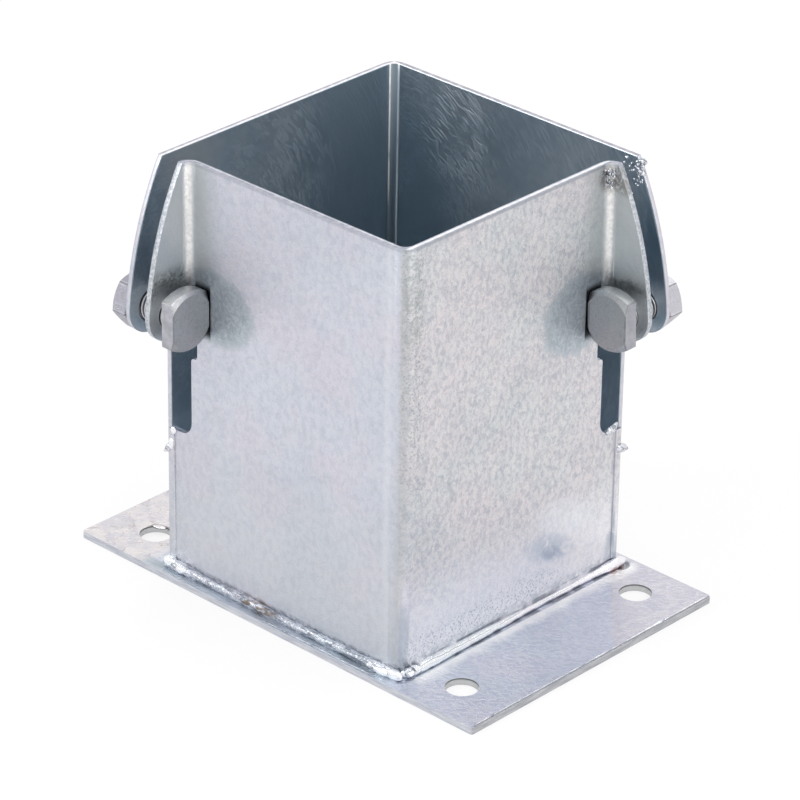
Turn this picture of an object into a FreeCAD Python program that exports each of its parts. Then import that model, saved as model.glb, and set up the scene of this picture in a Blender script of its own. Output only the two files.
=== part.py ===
"""Bolt-down base for a square timber post: a plate, two folded sheet angles and two clamp bolts.

Frame: +Z up, origin at the middle of the plate's underside. The plate is long in X.
The socket is made of two angles that meet at the -X -Y and +X +Y corners, where their ears
stand side by side and a bolt draws them together. Each angle is its own mirror image in the
upright plane through the other two corners, where its walls are folded.
"""
import FreeCAD, Part
import math
import os
import Sketcher

Vector = FreeCAD.Vector

# Driving sizes in millimetres. Levels are heights above the plate's top face.
SIZES = {
    "post_width": 100.0,
    "post_clearance": 1.0,
    "wall_height": 150.0,
    "sheet_gauge": 2.0,
    "bend_radius": 3.0,
    "plate_length": 178.0,
    "plate_width": 116.0,
    "plate_gauge": 2.5,
    "plate_corner": 1.0,
    "anchor_hole": 11.0,
    "anchor_pitch_long": 140.0,
    "anchor_pitch_short": 84.0,
    "ear_gap": 7.0,
    "ear_lobe_radius": 9.6,
    "ear_edge_radius": 125.0,
    "slot_level": 51.5,
    "slot_radius": 5.0,
    "relief_depth": 9.5,
    "relief_step": 2.8,
    "bolt_level": 99.5,
    "bolt_diameter": 10.0,
    "bolt_clearance": 1.0,
    "bolt_length": 25.0,
    "bolt_slack": 4.0,
    "bolt_end_chamfer": 1.2,
    "head_flats": 16.0,
    "head_length": 20.6,
    "head_thickness": 5.0,
    "head_bow_radius": 14.0,
    "head_chamfer": 1.3,
    "head_clearance": 0.1,
    "nut_flats": 17.0,
    "nut_height": 7.0,
    "nut_chamfer": 1.7,
    "weld_leg": 3.2,
    "weld_end_gap": 0.6,
    "seam_width": 2.6,
    "seam_rise": 0.5,
}

# Angles in degrees: chamfers on the head and nuts, and how far each piece is turned on its axis.
CHAMFER_ANGLE = 30.0
HEAD_TURNS = {"left": 0.0, "right": 2.5}
NUT_TURNS = {"left": 100.0, "right": 78.0}

CUT_MARGIN = 1.0
RELIEF_ROUNDING = 0.45
BEAD_ROUNDING = 0.8


class Size:
    """A length that keeps both its value and the sheet formula that it comes from."""

    def __init__(self, text, value):
        self.text = text
        self.value = value

    @staticmethod
    def of(other):
        return other if isinstance(other, Size) else Size(repr(float(other)), float(other))

    def __add__(self, other):
        other = Size.of(other)
        return Size(f"({self.text} + {other.text})", self.value + other.value)

    def __sub__(self, other):
        other = Size.of(other)
        return Size(f"({self.text} - {other.text})", self.value - other.value)

    def __mul__(self, other):
        other = Size.of(other)
        return Size(f"({self.text} * {other.text})", self.value * other.value)

    def __truediv__(self, other):
        other = Size.of(other)
        return Size(f"({self.text} / {other.text})", self.value / other.value)

    def __neg__(self):
        return Size(f"(0 - {self.text})", -self.value)

    def root(self):
        return Size(f"sqrt({self.text})", math.sqrt(self.value))


doc = FreeCAD.newDocument("post_base")
sheet = doc.addObject("Spreadsheet::Sheet", "Sizes")
for row, (alias, number) in enumerate(SIZES.items(), start=1):
    sheet.set(f"A{row}", alias.replace("_", " "))
    sheet.set(f"B{row}", str(number))
    sheet.setAlias(f"B{row}", alias)
doc.recompute()


def cell(alias):
    return Size(f"Sizes.{alias}", float(sheet.get(alias)))


# Sizes that follow from the driving ones.
gauge = cell("sheet_gauge")
bend_inner = cell("bend_radius")
bend_outer = bend_inner + gauge
inner_half = (cell("post_width") + cell("post_clearance")) / 2
outer_half = inner_half + gauge
plate_top = cell("plate_gauge")
rim_level = plate_top + cell("wall_height")
ear_root = outer_half + bend_inner
ear_back_face = inner_half - cell("ear_gap")
ear_front_face = ear_back_face - gauge
bend_start = ear_front_face - bend_inner
slot_edge = bend_start + cell("relief_step")
head_half_flats = cell("head_flats") / 2
head_half_length = cell("head_length") / 2
head_bow = cell("head_bow_radius")
head_corner = head_half_length - head_bow + (head_bow * head_bow - head_half_flats * head_half_flats).root()
head_swing = head_corner * math.sin(math.radians(max(HEAD_TURNS.values())))
bolt_reach = outer_half + head_half_flats + head_swing + cell("head_clearance")
bolt_level = plate_top + cell("bolt_level")
lobe_radius = cell("ear_lobe_radius")
ear_bottom = bolt_level - lobe_radius
slot_level = plate_top + cell("slot_level")
relief_level = ear_bottom - cell("relief_depth")
bolt_radius = cell("bolt_diameter") / 2
clamp_hole_radius = bolt_radius + cell("bolt_clearance") / 2
head_seat = ear_front_face - cell("bolt_slack")


# Drawing helpers.
def new_body(name):
    body = doc.addObject("PartDesign::Body", name)
    body.Label = name
    return body


def new_sketch(body, name, plane, offset=None):
    """Sketch on one of the body's origin planes, moved by offset along the plane's normal."""
    sketch = body.newObject("Sketcher::SketchObject", name)
    origin_plane = [item for item in body.Origin.OriginFeatures if item.Role == plane][0]
    sketch.AttachmentSupport = [(origin_plane, "")]
    sketch.MapMode = "FlatFace"
    if offset is not None:
        sketch.AttachmentOffset = FreeCAD.Placement(Vector(0, 0, offset.value), FreeCAD.Rotation())
        sketch.setExpression("AttachmentOffset.Base.z", offset.text)
    return sketch


def dimension(sketch, kind, *references, size):
    index = sketch.addConstraint(Sketcher.Constraint(kind, *references, size.value))
    sketch.setExpression(f"Constraints[{index}]", size.text)


def pin_point(sketch, geometry, end, point):
    dimension(sketch, "DistanceX", -1, 1, geometry, end, size=Size.of(point[0]))
    dimension(sketch, "DistanceY", -1, 1, geometry, end, size=Size.of(point[1]))


def vector_of(point):
    return Vector(Size.of(point[0]).value, Size.of(point[1]).value, 0)


def toward(corner, neighbour, radius):
    """Point at radius from a corner along its side to a neighbour, which lies level or plumb with it."""
    step = vector_of(neighbour) - vector_of(corner)
    x, y = Size.of(corner[0]), Size.of(corner[1])
    if abs(step.x) > abs(step.y):
        return (x + radius if step.x > 0 else x - radius, y)
    return (x, y + radius if step.y > 0 else y - radius)


def add_outline(sketch, corners):
    """Closed outline. A corner is (x, y), or (x, y, radius) where level and plumb sides meet."""
    count = len(corners)
    entries = []
    for number, corner in enumerate(corners):
        if len(corner) == 2:
            entries.append((corner, corner, None))
            continue
        before = toward(corner, corners[number - 1], corner[2])
        after = toward(corner, corners[(number + 1) % count], corner[2])
        entries.append((before, after, corner))
    for number, (_, start, _) in enumerate(entries):
        finish, leave, rounded = entries[(number + 1) % count]
        line = sketch.addGeometry(Part.LineSegment(vector_of(start), vector_of(finish)), False)
        pin_point(sketch, line, 1, start)
        pin_point(sketch, line, 2, finish)
        if rounded is not None:
            add_corner_arc(sketch, finish, leave, rounded)


def add_corner_arc(sketch, start, finish, corner):
    """Arc from start to finish that rounds off a square corner."""
    first, last, sharp = vector_of(start), vector_of(finish), vector_of(corner)
    centre = first + last - sharp
    middle = centre + (sharp - centre).normalize() * corner[2].value
    arc = sketch.addGeometry(Part.Arc(first, middle, last), False)
    turns_left = (sharp - first).cross(last - sharp).z > 0
    ends = (1, 2) if turns_left else (2, 1)
    pin_point(sketch, arc, ends[0], start)
    pin_point(sketch, arc, ends[1], finish)
    dimension(sketch, "Radius", arc, size=corner[2])


def add_circle(sketch, centre, radius):
    circle = sketch.addGeometry(Part.Circle(vector_of(centre), Vector(0, 0, 1), radius.value), False)
    pin_point(sketch, circle, 3, centre)
    dimension(sketch, "Radius", circle, size=radius)


def pad(body, name, sketch, length, backwards=False):
    feature = body.newObject("PartDesign::Pad", name)
    feature.Profile = sketch
    feature.Length = length.value
    feature.setExpression("Length", length.text)
    feature.Reversed = backwards
    doc.recompute()
    return feature


def pocket_through(body, name, sketch, backwards):
    feature = body.newObject("PartDesign::Pocket", name)
    feature.Profile = sketch
    feature.Type = "ThroughAll"
    feature.Reversed = backwards
    doc.recompute()
    return feature


def groove_around_axis(body, name, sketch):
    feature = body.newObject("PartDesign::Groove", name)
    feature.Profile = sketch
    feature.ReferenceAxis = (sketch, ["V_Axis"])
    feature.Angle = 360
    doc.recompute()
    return feature


def round_upright_edges(body, name, corners, radius):
    """Fillet on the upright edges of the body's last feature that stand at the given corners."""
    base = body.Tip
    names = []
    for number, edge in enumerate(base.Shape.Edges, start=1):
        if any(stands_at(edge, vector_of(corner)) for corner in corners):
            names.append(f"Edge{number}")
    fillet = body.newObject("PartDesign::Fillet", name)
    fillet.Base = (base, names)
    fillet.Radius = radius.value
    fillet.setExpression("Radius", radius.text)
    doc.recompute()
    return fillet


def stands_at(edge, spot):
    """Whether every vertex of an edge is plumb above or below a spot in the plan."""
    offsets = [math.hypot(vertex.X - spot.x, vertex.Y - spot.y) for vertex in edge.Vertexes]
    return max(offsets) < 1e-3


def mirror_in_fold_plane(body, name, features):
    """Repeat features on the other side of the upright plane where x + y = 0."""
    plane = body.newObject("PartDesign::Plane", f"{name}_plane")
    upright = [item for item in body.Origin.OriginFeatures if item.Role == "XZ_Plane"][0]
    plane.AttachmentSupport = [(upright, "")]
    plane.MapMode = "FlatFace"
    plane.AttachmentOffset = FreeCAD.Placement(Vector(), FreeCAD.Rotation(Vector(0, 1, 0), -45))
    mirrored = body.newObject("PartDesign::Mirrored", name)
    mirrored.Originals = features
    mirrored.MirrorPlane = (plane, [""])
    body.Tip = mirrored
    doc.recompute()
    return mirrored


# Base plate: sheared strip with four anchor holes.
def make_base_plate():
    body = new_body("base_plate")
    half_length, half_width = cell("plate_length") / 2, cell("plate_width") / 2
    corners = [
        (-half_length, -half_width), (half_length, -half_width),
        (half_length, half_width), (-half_length, half_width),
    ]
    blank = new_sketch(body, "plate_blank", "XY_Plane")
    add_outline(blank, corners)
    pad(body, "plate_pad", blank, cell("plate_gauge"))
    round_upright_edges(body, "plate_corners", corners, cell("plate_corner"))
    holes = new_sketch(body, "anchor_holes", "XY_Plane")
    reach_x, reach_y = cell("anchor_pitch_long") / 2, cell("anchor_pitch_short") / 2
    for x in (-reach_x, reach_x):
        for y in (-reach_y, reach_y):
            add_circle(holes, (x, y), cell("anchor_hole") / 2)
    pocket_through(body, "anchor_pocket", holes, backwards=True)
    return body


# Ear: flat tab with a long bowed edge that runs into a round lobe about the bolt hole.
def add_ear(body, name, face_offset, root):
    """Ear at the -X -Y corner, from its root to the lobe, with its -X face at face_offset."""
    sketch = new_sketch(body, f"{name}_outline", "YZ_Plane", face_offset)
    bow_radius = cell("ear_edge_radius")
    lobe = Vector(-bolt_reach.value, bolt_level.value, 0)
    top = Vector(-ear_root.value, rim_level.value, 0)
    bow_centre = bow_centre_of(top, bow_radius.value, lobe, lobe_radius.value)
    join = bow_centre + (lobe - bow_centre).normalize() * bow_radius.value
    bow_middle = bow_centre + ((top + join) / 2 - bow_centre).normalize() * bow_radius.value
    outward = (join - lobe).normalize() + Vector(0, -1, 0)
    lobe_middle = lobe + outward.normalize() * lobe_radius.value
    lobe_foot = vector_of((-bolt_reach, ear_bottom))
    root_foot = vector_of((-root, ear_bottom))
    root_top = vector_of((-root, rim_level))

    bow = sketch.addGeometry(Part.Arc(top, bow_middle, join), False)
    round_end = sketch.addGeometry(Part.Arc(join, lobe_middle, lobe_foot), False)
    foot = sketch.addGeometry(Part.LineSegment(lobe_foot, root_foot), False)
    inner = sketch.addGeometry(Part.LineSegment(root_foot, root_top), False)
    pin_point(sketch, bow, 1, (-ear_root, rim_level))
    dimension(sketch, "Radius", bow, size=bow_radius)
    sketch.addConstraint(Sketcher.Constraint("Tangent", bow, 2, round_end, 1))
    pin_point(sketch, round_end, 3, (-bolt_reach, bolt_level))
    dimension(sketch, "Radius", round_end, size=lobe_radius)
    sketch.addConstraint(Sketcher.Constraint("Tangent", round_end, 2, foot, 1))
    sketch.addConstraint(Sketcher.Constraint("Coincident", foot, 2, inner, 1))
    pin_point(sketch, inner, 1, (-root, ear_bottom))
    pin_point(sketch, inner, 2, (-root, rim_level))
    if root.value < ear_root.value:
        rim = sketch.addGeometry(Part.LineSegment(root_top, top), False)
        sketch.addConstraint(Sketcher.Constraint("Coincident", inner, 2, rim, 1))
        sketch.addConstraint(Sketcher.Constraint("Coincident", rim, 2, bow, 1))
    return pad(body, name, sketch, gauge)


def cut_clamp_hole(body, face_offset):
    """Hole for the clamp bolt through the ear at the -X -Y corner, from its -X face inwards."""
    sketch = new_sketch(body, "clamp_hole_outline", "YZ_Plane", face_offset)
    add_circle(sketch, (-bolt_reach, bolt_level), clamp_hole_radius)
    return pocket_through(body, "clamp_hole", sketch, backwards=True)


def bow_centre_of(top, bow_radius, lobe, round_radius):
    """Centre of the long arc that passes through top and runs into the lobe from outside."""
    reach = bow_radius - round_radius
    across = lobe - top
    span = across.Length
    along = (bow_radius**2 - reach**2 + span**2) / (2 * span)
    side = math.sqrt(bow_radius**2 - along**2)
    unit = across / span
    return top + unit * along + Vector(-unit.y, unit.x, 0) * side


def make_angle_walls(body, corners, fold_outside, fold_inside):
    """Two walls at right angles from the plate to the rim, folded at one corner."""
    plan = new_sketch(body, "wall_plan", "XY_Plane", plate_top)
    add_outline(plan, corners)
    pad(body, "walls", plan, cell("wall_height"))
    round_upright_edges(body, "fold_outside", [fold_outside], bend_outer)
    round_upright_edges(body, "fold_inside", [fold_inside], bend_inner)


# Front angle: -Y and +X walls, slotted beside the open corners, with ears folded outwards.
def make_front_angle():
    body = new_body("front_angle")
    corners = [
        (-inner_half, -outer_half), (outer_half, -outer_half), (outer_half, inner_half),
        (inner_half, inner_half), (inner_half, -inner_half), (-inner_half, -inner_half),
    ]
    make_angle_walls(body, corners, (outer_half, -outer_half), (inner_half, -inner_half))
    slot = new_sketch(body, "slot_outline", "XZ_Plane", inner_half)
    past_end, past_rim = -inner_half - CUT_MARGIN, rim_level + CUT_MARGIN
    relief_radius = cell("relief_step") * RELIEF_ROUNDING
    add_outline(slot, [
        (past_end, slot_level), (-slot_edge, slot_level, cell("slot_radius")),
        (-slot_edge, relief_level, relief_radius), (-bend_start, relief_level, relief_radius),
        (-bend_start, past_rim), (past_end, past_rim),
    ])
    cut = pocket_through(body, "corner_slot", slot, backwards=True)
    bend = new_sketch(body, "ear_bend_plan", "XY_Plane", ear_bottom)
    add_bend_section(bend)
    ear_fold = pad(body, "ear_fold", bend, rim_level - ear_bottom)
    ear = add_ear(body, "ear", -ear_back_face, ear_root)
    hole = cut_clamp_hole(body, -ear_back_face)
    mirror_in_fold_plane(body, "other_corner", [cut, ear_fold, ear, hole])
    return body


def add_bend_section(sketch):
    """Quarter ring that carries the -Y wall round into its ear."""
    centre = (-bend_start, -ear_root)
    axis = vector_of(centre)
    ends = []
    for radius in (bend_inner, bend_outer):
        wall_end, ear_end = (-bend_start, -ear_root + radius), (-bend_start - radius, -ear_root)
        slant = Vector(-1, 1, 0).normalize() * radius.value
        arc = sketch.addGeometry(Part.Arc(vector_of(wall_end), axis + slant, vector_of(ear_end)), False)
        pin_point(sketch, arc, 1, wall_end)
        pin_point(sketch, arc, 2, ear_end)
        dimension(sketch, "Radius", arc, size=radius)
        ends.append((wall_end, ear_end))
    for inside, outside in zip(*ends):
        line = sketch.addGeometry(Part.LineSegment(vector_of(inside), vector_of(outside)), False)
        pin_point(sketch, line, 1, inside)
        pin_point(sketch, line, 2, outside)


# Back angle: +Y and -X walls, whose ears run straight on past the open corners.
def make_back_angle():
    body = new_body("back_angle")
    corners = [
        (-outer_half, -outer_half), (-inner_half, -outer_half), (-inner_half, inner_half),
        (outer_half, inner_half), (outer_half, outer_half), (-outer_half, outer_half),
    ]
    make_angle_walls(body, corners, (-outer_half, outer_half), (-inner_half, inner_half))
    ear = add_ear(body, "ear", -outer_half, outer_half)
    hole = cut_clamp_hole(body, -outer_half)
    mirror_in_fold_plane(body, "other_corner", [ear, hole])
    return body


# Clamp bolt: its head has two flats, which lie along the wall and stop it turning.
def make_clamp_bolt(name):
    """Bolt along the body's Z with the head's underside at zero and the head above it."""
    body = new_body(name)
    head = new_sketch(body, "head_outline", "XY_Plane")
    right, left = add_head_bow(head, 1), add_head_bow(head, -1)
    join_head_bows(head, right, left)
    join_head_bows(head, left, right)
    pad(body, "head", head, cell("head_thickness"))
    face_radius = head_half_length - cell("head_chamfer")
    cut_chamfer(body, "face_chamfer", face_radius, cell("head_thickness"), head_half_length, upwards=True)
    shank = new_sketch(body, "shank_outline", "XY_Plane")
    add_circle(shank, (0, 0), bolt_radius)
    pad(body, "shank", shank, cell("bolt_length"), backwards=True)
    end, bevel = -cell("bolt_length"), cell("bolt_end_chamfer")
    clear = bolt_radius + CUT_MARGIN
    tip = new_sketch(body, "tip_section", "XZ_Plane")
    add_outline(tip, [(bolt_radius - bevel, end), (clear, end), (clear, end + bevel + CUT_MARGIN)])
    groove_around_axis(body, "tip_chamfer", tip)
    return body


def add_head_bow(sketch, sign):
    """Bowed end of the head: the one on +X for a sign of 1, and on -X for a sign of -1."""
    first = vector_of((head_corner * sign, head_half_flats * -sign))
    crown = vector_of((head_half_length * sign, 0))
    last = vector_of((head_corner * sign, head_half_flats * sign))
    bow = sketch.addGeometry(Part.Arc(first, crown, last), False)
    dimension(sketch, "Radius", bow, size=head_bow)
    pin_point(sketch, bow, 3, ((head_half_length - head_bow) * sign, 0))
    dimension(sketch, "DistanceY", -1, 1, bow, 1, size=head_half_flats * -sign)
    dimension(sketch, "DistanceY", -1, 1, bow, 2, size=head_half_flats * sign)
    return bow


def join_head_bows(sketch, bow, other):
    """Flat side of the head, from the end of one bow to the start of the other."""
    start, finish = sketch.getPoint(bow, 2), sketch.getPoint(other, 1)
    flat = sketch.addGeometry(Part.LineSegment(start, finish), False)
    sketch.addConstraint(Sketcher.Constraint("Coincident", bow, 2, flat, 1))
    sketch.addConstraint(Sketcher.Constraint("Coincident", flat, 2, other, 1))


def cut_chamfer(body, name, face_radius, level, reach, upwards):
    """Turned chamfer that starts at face_radius on the face at level and falls away to reach."""
    far = reach + CUT_MARGIN
    drop = (far - face_radius) * math.tan(math.radians(CHAMFER_ANGLE))
    section = new_sketch(body, f"{name}_section", "XZ_Plane")
    fallen = level - drop if upwards else level + drop
    clear = level + CUT_MARGIN if upwards else level - CUT_MARGIN
    add_outline(section, [(face_radius, level), (far, fallen), (far, clear), (face_radius, clear)])
    return groove_around_axis(body, name, section)


# Clamp nut: plain hexagon nut, chamfered on both faces.
def make_clamp_nut(name):
    """Nut along the body's Z, from zero up, with a corner along X and its bore to fit the shank."""
    body = new_body(name)
    corner_reach = cell("nut_flats") / math.sqrt(3)
    corners = []
    for number in range(6):
        angle = math.radians(60 * number)
        corners.append((corner_reach * math.cos(angle), corner_reach * math.sin(angle)))
    outline = new_sketch(body, "hexagon", "XY_Plane")
    add_outline(outline, corners)
    add_circle(outline, (0, 0), bolt_radius)
    pad(body, "blank", outline, cell("nut_height"))
    face_radius = corner_reach - cell("nut_chamfer")
    cut_chamfer(body, "outer_chamfer", face_radius, cell("nut_height"), corner_reach, upwards=True)
    cut_chamfer(body, "inner_chamfer", face_radius, Size.of(0), corner_reach, upwards=False)
    return body


# Axes of the two bolts: the head looks along the third direction, its length hangs down.
FRAMES = {
    "left": (Vector(0, 0, -1), Vector(0, 1, 0), Vector(1, 0, 0)),
    "right": (Vector(0, 0, -1), Vector(1, 0, 0), Vector(0, -1, 0)),
}


def seat_on_axis(body, side, along, turn):
    """Put a turned piece on its clamp axis, along measured from the socket's middle plane."""
    rotation = FreeCAD.Rotation(*FRAMES[side], "XYZ").multiply(FreeCAD.Rotation(Vector(0, 0, 1), turn))
    x, y = (-along, -bolt_reach) if side == "left" else (bolt_reach, along)
    body.Placement = FreeCAD.Placement(Vector(x.value, y.value, bolt_level.value), rotation)
    body.setExpression("Placement.Base.x", x.text)
    body.setExpression("Placement.Base.y", y.text)
    body.setExpression("Placement.Base.z", bolt_level.text)


def make_clamp_fasteners():
    pieces = []
    for side in ("left", "right"):
        bolt = make_clamp_bolt(f"clamp_bolt_{side}")
        seat_on_axis(bolt, side, head_seat, HEAD_TURNS[side])
        nut = make_clamp_nut(f"clamp_nut_{side}")
        seat_on_axis(nut, side, outer_half + cell("nut_height"), NUT_TURNS[side])
        pieces += [bolt, nut]
    return pieces


# Fillet welds between the walls and the plate, outside each wall from its fold to the open corner.
def make_wall_welds():
    leg = cell("weld_leg")
    rounding = leg * BEAD_ROUNDING
    fold_end = outer_half - bend_outer - cell("weld_end_gap")
    run = outer_half + fold_end
    sides = {
        "front_left": (0, -outer_half), "front_right": (90, -fold_end),
        "back_right": (180, -outer_half), "back_left": (270, -fold_end),
    }
    pieces = []
    for side, (angle, start) in sides.items():
        body = new_body(f"wall_weld_{side}")
        section = new_sketch(body, "bead_section", "YZ_Plane", start)
        add_outline(section, [
            (-outer_half, plate_top), (-outer_half, plate_top + leg),
            (-outer_half - leg, plate_top + leg, rounding), (-outer_half - leg, plate_top),
        ])
        pad(body, "bead", section, run)
        body.Placement = FreeCAD.Placement(Vector(), FreeCAD.Rotation(Vector(0, 0, 1), angle))
        pieces.append(body)
    return pieces


# Seam welds: thin upright runs that close the open corners below the slots.
def make_seam_welds():
    half_width, rise = cell("seam_width") / 2, cell("seam_rise")
    rounding = rise * BEAD_ROUNDING
    foot = plate_top + cell("weld_leg")
    pieces = []
    for side in ("left", "right"):
        body = new_body(f"seam_weld_{side}")
        section = new_sketch(body, "seam_section", "XY_Plane", foot)
        near, far, face = inner_half - half_width, inner_half + half_width, outer_half
        outline = [(near, face), (far, face), (far, face + rise, rounding), (near, face + rise, rounding)]
        if side == "left":
            add_outline(section, [(-u, -v, *rest) for u, v, *rest in outline])
        else:
            add_outline(section, [(v, u, *rest) for u, v, *rest in outline])
        pad(body, "seam", section, slot_level - foot)
        pieces.append(body)
    return pieces


pieces = [make_base_plate(), make_front_angle(), make_back_angle()]
pieces += make_wall_welds() + make_seam_welds() + make_clamp_fasteners()
doc.recompute()

for item in doc.Objects:
    if "Invalid" in item.State or "Error" in item.State:
        raise RuntimeError(f"{item.Label} failed: {item.State}")
os.makedirs("parts", exist_ok=True)
for piece in pieces:
    if piece.Shape.isNull() or not piece.Shape.isValid() or len(piece.Shape.Solids) != 1:
        raise RuntimeError(f"{piece.Label} is not one sound solid")
    piece.Shape.exportStep(f"parts/{piece.Label}.step")
    print(f"{piece.Label}: {piece.Shape.Volume:.0f} mm3")
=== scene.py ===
"""Looks for a galvanised, bolt-down timber post base: plate, two folded angles, welds, bolts and nuts."""
import bpy
import math
import random
from mathutils import Euler, Matrix, Vector


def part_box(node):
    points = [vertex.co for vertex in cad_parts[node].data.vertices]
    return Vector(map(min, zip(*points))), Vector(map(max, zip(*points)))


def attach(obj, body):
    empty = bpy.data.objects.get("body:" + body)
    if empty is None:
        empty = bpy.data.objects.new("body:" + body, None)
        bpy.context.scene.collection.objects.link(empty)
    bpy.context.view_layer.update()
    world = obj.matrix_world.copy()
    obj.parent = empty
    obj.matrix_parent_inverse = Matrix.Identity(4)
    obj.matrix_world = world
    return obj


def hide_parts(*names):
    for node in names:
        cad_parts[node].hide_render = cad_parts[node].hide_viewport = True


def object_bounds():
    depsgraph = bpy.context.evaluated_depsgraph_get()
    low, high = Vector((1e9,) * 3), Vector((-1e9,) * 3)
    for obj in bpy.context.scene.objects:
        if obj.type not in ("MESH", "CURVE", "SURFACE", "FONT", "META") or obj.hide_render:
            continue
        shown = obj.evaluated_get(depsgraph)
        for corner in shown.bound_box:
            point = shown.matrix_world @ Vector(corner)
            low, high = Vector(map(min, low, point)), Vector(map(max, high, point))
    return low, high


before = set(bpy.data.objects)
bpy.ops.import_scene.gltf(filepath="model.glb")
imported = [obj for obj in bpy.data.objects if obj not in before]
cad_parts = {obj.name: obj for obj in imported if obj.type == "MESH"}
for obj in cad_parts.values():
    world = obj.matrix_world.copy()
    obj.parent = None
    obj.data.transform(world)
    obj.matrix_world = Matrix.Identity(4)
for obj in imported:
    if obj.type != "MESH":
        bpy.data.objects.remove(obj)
cad_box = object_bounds()
bpy.ops.object.select_all(action="DESELECT")


# ---------------------------------------------------------------------------------------------
# Base plate. A sheared steel strip with four punched holes, dipped in zinc with the whole base.
# The zinc lies blue and rippled beside the socket and duller and pinker at both ends.

def place(tree, kind, feeds=None, **settings):
    """Add a shader node, set it up, and feed its sockets with values or with other nodes."""
    node = tree.nodes.new("ShaderNode" + kind)
    for setting, value in settings.items():
        setattr(node, setting, value)
    for socket, value in (feeds or {}).items():
        if isinstance(value, bpy.types.NodeSocket):
            tree.links.new(value, node.inputs[socket])
        else:
            node.inputs[socket].default_value = value
    return node


def work_out(tree, operation, first, second=0.0):
    return place(tree, "Math", {0: first, 1: second}, operation=operation).outputs[0]


def fade(tree, value, start, finish):
    """Soft step: 0 where value is at start or before it, 1 from finish on."""
    step = place(tree, "MapRange", {"Value": value, "From Min": start, "From Max": finish},
                 interpolation_type="SMOOTHSTEP")
    return step.outputs[0]


def overlap(tree, *masks):
    """Where every mask holds."""
    product = masks[0]
    for mask in masks[1:]:
        product = work_out(tree, "MULTIPLY", product, mask)
    return product


def band(tree, value, low, high, soft):
    """Soft-edged band: 1 where value is between low and high."""
    return overlap(tree, fade(tree, value, low - soft, low + soft),
                   fade(tree, value, high + soft, high - soft))


def spot(tree, across, up, centre, reach):
    """Soft round patch: 1 at its centre, 0 past its reach, which may differ across and up."""
    squares = []
    for value, middle, size in zip((across, up), centre, reach):
        side = work_out(tree, "DIVIDE", work_out(tree, "SUBTRACT", value, middle), size)
        squares.append(overlap(tree, side, side))
    return fade(tree, work_out(tree, "ADD", *squares), 1.0, 0.1)


def length_of(tree, first, second):
    """Length of the straight line that goes first one way and second across it."""
    squares = [overlap(tree, side, side) for side in (first, second)]
    return work_out(tree, "SQRT", work_out(tree, "ADD", *squares))


def tint(tree, amount, under, over, blend="MIX"):
    """Colour that goes from under to over as amount goes from 0 to 1."""
    mix = place(tree, "Mix", {0: amount, 6: under, 7: over}, data_type="RGBA", blend_type=blend)
    return mix.outputs[2]


def stretch(tree, vector, amounts):
    return place(tree, "VectorMath", {0: vector, 1: amounts}, operation="MULTIPLY").outputs[0]


def away_from(tree, where, x, y):
    """Level distance from an upright line through x, y. All in millimetres."""
    flat = stretch(tree, where, (1000.0, 1000.0, 0.0))
    return place(tree, "VectorMath", {0: flat, 1: (x, y, 0.0)}, operation="DISTANCE").outputs["Value"]


def mottle(tree, where, scale, low, high, detail=3.0, twist=0.0):
    """Cloudy pattern between 0 and 1, with scale features to the metre."""
    noise = place(tree, "TexNoise", {"Vector": where, "Scale": scale, "Detail": detail, "Distortion": twist})
    return fade(tree, noise.outputs[0], low, high)


def new_group(name, takes, gives):
    """Empty node group with named sockets, each (name, kind, default)."""
    group = bpy.data.node_groups.new(name, "ShaderNodeTree")
    for direction, sockets in (("INPUT", takes), ("OUTPUT", gives)):
        for label, kind, default in sockets:
            socket = group.interface.new_socket(name=label, in_out=direction, socket_type="NodeSocket" + kind)
            if default is not None:
                socket.default_value = default
    return group, group.nodes.new("NodeGroupInput").outputs, group.nodes.new("NodeGroupOutput").inputs


# Zinc coat: ragged flecks of spangle, drawn streaks, slow clouds and a fine grain, fixed to the steel.
coat, coat_in, coat_out = new_group(
    "zinc_coat",
    [("Light", "Color", (0.66, 0.66, 0.70, 1)), ("Shade", "Color", (0.45, 0.47, 0.52, 1)),
     ("Fleck Size", "Float", 2.4), ("Flecks", "Float", 0.5), ("Streaks", "Float", 0.2),
     ("Clouds", "Float", 0.3), ("Grain", "Float", 0.3), ("Gloss", "Float", 0.4)],
    [("Color", "Color", None), ("Roughness", "Float", None), ("Height", "Float", None)])
where = place(coat, "TexCoord").outputs["Object"]
wander = place(coat, "TexNoise", {"Vector": where, "Scale": 480.0, "Detail": 4.0}).outputs["Color"]
pushed = place(coat, "VectorMath", {0: wander, "Scale": 0.0045}, operation="SCALE").outputs[0]
pushed = place(coat, "VectorMath", {0: where, 1: pushed}, operation="ADD").outputs[0]
per_metre = work_out(coat, "DIVIDE", 1000.0, coat_in["Fleck Size"])
cells = place(coat, "TexVoronoi", {"Vector": stretch(coat, pushed, (1.0, 1.0, 0.75)), "Scale": per_metre})
cell_value = place(coat, "SeparateColor", {0: cells.outputs["Color"]}).outputs[0]
islands = mottle(coat, stretch(coat, where, (1.0, 1.0, 0.78)), per_metre, 0.42, 0.62, 4.0, 0.6)
fleck = work_out(coat, "ADD", overlap(coat, islands, 0.65),
                 overlap(coat, fade(coat, cell_value, 0.4, 1.0), 0.35))
grain = mottle(coat, where, 2300.0, 0.30, 0.70, 3.0)
streak = mottle(coat, stretch(coat, where, (1.0, 1.0, 0.10)), 520.0, 0.35, 0.72)
cloud = mottle(coat, where, 30.0, 0.35, 0.68, 3.0, 0.6)
share = overlap(coat, fleck, coat_in["Flecks"])
for pattern, weight in ((streak, "Streaks"), (cloud, "Clouds"), (grain, "Grain")):
    share = work_out(coat, "ADD", share, overlap(coat, pattern, coat_in[weight]))
share = place(coat, "Clamp", {0: share}).outputs[0]
colour = tint(coat, share, coat_in["Light"], coat_in["Shade"])
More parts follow.
